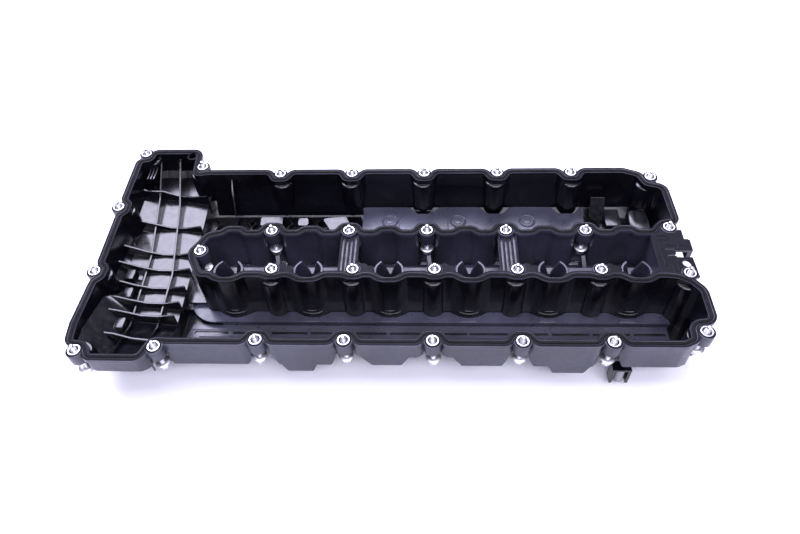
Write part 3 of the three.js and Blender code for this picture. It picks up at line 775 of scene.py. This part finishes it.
def build_bolt():
    """A flanged hexagon bolt with a rounded pilot, a threaded end and a plain neck."""
    thread = []
    for turn in range(9):
        z = -6 + turn * 1.1
        thread += [(3.25, z), (2.75, z + 0.5)]
    profile = [(0.01, -30.4), (7.6, -30.4), (8, -30), (8, -29.4), (7.4, -28.9), (4.6, -28), (3.1, -28),
               (3.1, -20), (2.7, -19.4), (2.7, -8), (3.25, -7), *thread, (3.1, 4.2), (2.2, 5), (1.7, 5.6),
               (2.15, 6.6), (2.2, 7.4), (1.8, 8.4), (1, 8.9), (0.01, 9)]
    shank = turned(profile, sides=28)
    bpy.ops.object.select_all(action="DESELECT")
    bpy.ops.mesh.primitive_cylinder_add(vertices=6, radius=10 / math.sqrt(3), depth=8, location=(0, 0, -34))
    head = bpy.context.object
    bpy.ops.object.transform_apply(location=True, rotation=True, scale=True)
    bevel = head.modifiers.new("edges", "BEVEL")
    bevel.width = 0.6
    bevel.segments = 2
    bpy.ops.object.modifier_apply(modifier=bevel.name)
    return gather([shank, head])


class COVER_OT_bolts(bpy.types.Operator):
    """Models one captive bolt and copies it to its 31 places."""
    bl_idname = "cover.bolts"
    bl_label = "Captive bolts"

    def execute(self, context):
        pattern = build_bolt()
        for index, (x, y) in enumerate(BOLTS):
            node = "cover_bolt_%02d" % (index + 1)
            bolt = copy_of(pattern)
            about_y, about_x = lean_of(index)
            bolt.matrix_world = Matrix.Translation((x, y, 0)) @ about_x @ about_y
            finish(bolt, "bolt_%02d" % (index + 1), ["zinc"], node)
            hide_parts(node)
        bpy.data.objects.remove(pattern, do_unlink=True)
        return {"FINISHED"}


class COVER_OT_sleeves(bpy.types.Operator):
    """Models the steel sleeve and rubber grommet in each boss."""
    bl_idname = "cover.sleeves"
    bl_label = "Sleeves and grommets"

    def execute(self, context):
        top = context.scene.cover_settings.sleeve_height / MM
        sleeve = turned([(4.9, -13), (6.2, -13), (6.2, -1.2), (6.6, -0.4), (6.6, top - 0.35),
                         (6.3, top), (5.2, top), (4.9, top - 0.3)])
        grommet = turned([(3.8, -13.1), (6.6, -13.1), (6.6, -15.9), (6.3, -16.2), (4.1, -16.2), (3.8, -15.9)],
                         sides=40)
        for index, (x, y) in enumerate(BOLTS):
            for pattern, name, key, slot in ((sleeve, "sleeve", "zinc", "zinc_steel"),
                                             (grommet, "grommet", "rubber", "black_rubber")):
                piece = copy_of(pattern)
                piece.matrix_world = Matrix.Translation((x, y, 0))
                finish(piece, "%s_%02d" % (name, index + 1), [key])
        bpy.data.objects.remove(sleeve, do_unlink=True)
        bpy.data.objects.remove(grommet, do_unlink=True)
        return {"FINISHED"}


def build_baffle():
    """The baffle: a scalloped ledge, its snap tabs, a step down and a slotted strip."""
    front = 67.5
    edge = rounded([(452, front), (452, 92), (-70, 92), (-96, 128), (-108.5, 128), (-108.5, 105, 40),
                    (-102, 82, 30), (-84, front, 30)])
    foot = offset(SEAL_LINE, BAND / 2 + 0.4)
    ledge = prism([edge], -68, -66)
    combine(ledge, prism([foot], -90, 3), "INTERSECT")
    bead = prism([offset(foot, 3.4), offset(foot, 5)], -67, -64.2, edge=0.5)
    combine(ledge, combine(bead, block(-130, 470, front + 1, 101, -80, 0), "INTERSECT"))
    combine(ledge, block(-64, 452, front, front + 2, -73.9, -66))
    combine(ledge, block(-72, 450, front + 0.2, front + 1.2, -67, -65.2))
    for x in (30, 121):
        combine(ledge, prism([[(x, front + 1), (x + 20, front + 1), (x + 16, 77), (x + 4, 77)]], -67, -64.8))
    for x in (214, 305, 396):
        combine(ledge, prism([rounded([(x, front + 1), (x + 19, front + 1), (x + 19, 78, 8), (x, 78, 8)])],
                             -67, -64.8, edge=0.3))
    strip = prism([rounded([(-106, 46), (450, 46), (450, front + 1), (-100, front + 1)])], -75.2, -72.8)
    slots = [(-96, -56), (-51, -9), (-5, 37), (41, 83), (87, 129), (133, 175), (191, 222), (225, 269),
             (273, 315), (319, 361), (365, 407), (411, 447)]
    combine(strip, gather([block(a, b, 55.4, 58.8, -77, -70) for a, b in slots]), "DIFFERENCE")
    for y, start, end in ((51, -90, 440), (60.5, -100, 200), (62.6, -60, 430), (65, -40, 445)):
        combine(strip, block(start, end, y, y + 0.9, -74, -71.9))
    return combine(ledge, strip)


def build_separator():
    """The separator tray with a scalloped far edge, a hollow panel and three dimples."""
    far, near = 240, 168
    corners = [(93, near, 3), (374, near, 3), (374, far, 4)]
    for x, _ in reversed(BACK_ROW[2:5]):
        corners += [(x + 19, far, 8), (x + 11, far - 12, 8), (x - 11, far - 12, 8), (x - 19, far, 8)]
    corners += [(93, far, 4)]
    outline = rounded(corners)
    tray = prism([outline], -52, -50.6)
    combine(tray, prism([outline, offset(outline, 1.6)], -52, -49.4, edge=0.4))
    rim = [(93, near), (374, near), (374, 226), (93, 226)]
    combine(tray, prism([rim, offset(rim, 2)], -59.7, -51))
    panel = rounded([(139, 196, 8), (203, 196, 8), (203, 222, 10), (188, 234, 10), (158, 234, 10),
                     (139, 222, 10)])
    combine(tray, prism([panel, offset(panel, 1.4)], -51, -49.6, edge=0.3))
    for x in (127.9, 214.9, 302.4):
        combine(tray, turned([(10.5, -51), (10.2, -49.6), (9.4, -49), (8.4, -49.4), (7.4, -50.9)], x, 214.4))
        combine(tray, drum(x, 214.4, 7, -54, -51.5, 40), "DIFFERENCE")
        combine(tray, drum(x, 214.4, 4.6, -52, -49.8, 40, 0.6))
    return tray


class COVER_OT_plates(bpy.types.Operator):
    """Models the front baffle and the back separator plate."""
    bl_idname = "cover.plates"
    bl_label = "Baffle and separator"

    def execute(self, context):
        for build, name, node in ((build_baffle, "baffle_plate", "oil_baffle"),
                                  (build_separator, "separator_tray", "separator_plate")):
            plate = finish(build(), name, ["plate"])
            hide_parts(node)
        return {"FINISHED"}


class COVER_OT_under(bpy.types.Operator):
    """Gives the clip, its bush and the vent their finishes."""
    bl_idname = "cover.under"
    bl_label = "Clip and vent"

    def execute(self, context):
        for node, key in (("wiring_clip", "satin"), ("clip_bush", "grey"), ("vent_cover", "satin"),
                          ("vent_membrane", "rubber"), ("vent_spring", "zinc")):
            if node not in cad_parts:
                raise RuntimeError("the frame has no %s" % node)
            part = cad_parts[node]
            part.data.materials.clear()
            part.data.materials.append(finish_for(key))
        return {"FINISHED"}


# ---- Stage --------------------------------------------------------------------------------------------
def soft_light(name, place, target, size, power, tint):
    """A rectangular studio light at a place, turned to its target."""
    lamp = bpy.data.lights.new(name, "AREA")
    lamp.shape = "RECTANGLE"
    lamp.size, lamp.size_y = size
    lamp.energy = power
    lamp.color = colour(tint)[:3]
    light = bpy.data.objects.new(name, lamp)
    bpy.context.collection.objects.link(light)
    light.location = place
    light.rotation_euler = (Vector(target) - Vector(place)).to_track_quat("-Z", "Y").to_euler()
    return light


class COVER_OT_stage(bpy.types.Operator):
    """Adds the floor, the lights and the camera."""
    bl_idname = "cover.stage"
    bl_label = "Stage"

    def execute(self, context):
        scene = context.scene
        power = scene.cover_settings.light_power
        bpy.ops.object.select_all(action="DESELECT")
        bpy.ops.mesh.primitive_plane_add(size=12, location=(0, 0, -0.0004))
        floor = context.object
        floor.name = "floor"
        material, tree, surface, place = new_material("white_paper_sweep")
        surface.inputs["Base Color"].default_value = colour("#f7f7fb")
        surface.inputs["Roughness"].default_value = 0.9
        surface.inputs["Specular IOR Level"].default_value = 0.0
        floor.data.materials.append(material)
        world = bpy.data.worlds.new("white_room")
        scene.world = world
        world.use_nodes = True
        world.node_tree.nodes["Background"].inputs["Color"].default_value = colour("#ededfd")
        world.node_tree.nodes["Background"].inputs["Strength"].default_value = 0.16
        soft_light("back_softbox", (-0.4, 1.18, 1.62), (-0.1, 0.05, 0), (2.9, 0.95), 125 * power, "#e3e1fa")
        soft_light("front_softbox", (0.25, -1.3, 1.75), (0, 0, 0), (2.4, 0.7), 52 * power, "#e9e7fb")
        soft_light("overhead_softbox", (0, -0.15, 2.1), (0, -0.1, 0), (3.2, 1.0), 45 * power, "#eeedfc")
        scene.view_settings.view_transform = "Standard"
        camera = bpy.data.cameras.new("camera")
        camera.sensor_width = 36
        camera.lens = 29.7
        eye = bpy.data.objects.new("camera", camera)
        scene.collection.objects.link(eye)
        eye.matrix_world = camera_place()
        scene.camera = eye
        return {"FINISHED"}


def camera_place():
    """The camera's place: above and in front of the cover, looking down along it."""
    pitch, yaw, roll = math.radians(50.39), math.radians(-4.12), math.radians(-3.12)
    forward = Vector((math.sin(yaw) * math.cos(pitch), math.cos(yaw) * math.cos(pitch), -math.sin(pitch)))
    right = Vector((math.cos(yaw), -math.sin(yaw), 0))
    up = right.cross(forward)
    side = math.cos(roll) * right + math.sin(roll) * up
    top = -math.sin(roll) * right + math.cos(roll) * up
    place = Vector((179.6 - CENTRE[0], -369.1 - CENTRE[1], 564.6 + ROOF_DROP)) * MM
    rotation = Matrix((side, top, -forward)).transposed().to_4x4()
    return Matrix.Translation(place) @ rotation


OPERATORS = (COVER_OT_stage, COVER_OT_shell, COVER_OT_seal, COVER_OT_plates, COVER_OT_sleeves, COVER_OT_bolts,
             COVER_OT_under)


class COVER_PT_panel(bpy.types.Panel):
    """Lists the cover's settings and pieces."""
    bl_label = "Cylinder head cover"
    bl_idname = "COVER_PT_panel"
    bl_space_type = "VIEW_3D"
    bl_region_type = "UI"
    bl_category = "Cover"

    def draw(self, context):
        settings = context.scene.cover_settings
        for name in CoverSettings.__annotations__:
            self.layout.prop(settings, name)
        for operator in OPERATORS:
            self.layout.operator(operator.bl_idname)


CLASSES = (CoverSettings, *OPERATORS, COVER_PT_panel)


def register():
    for cls in CLASSES:
        bpy.utils.register_class(cls)
    bpy.types.Scene.cover_settings = bpy.props.PointerProperty(type=CoverSettings)


def unregister():
    MADE.clear()
    del bpy.types.Scene.cover_settings
    for cls in reversed(CLASSES):
        bpy.utils.unregister_class(cls)


def main():
    register()
    bpy.ops.cover.stage()
    bpy.ops.cover.shell()
    bpy.ops.cover.seal()
    bpy.ops.cover.plates()
    bpy.ops.cover.sleeves()
    bpy.ops.cover.bolts()
    bpy.ops.cover.under()


if __name__ == "__main__":
    main()
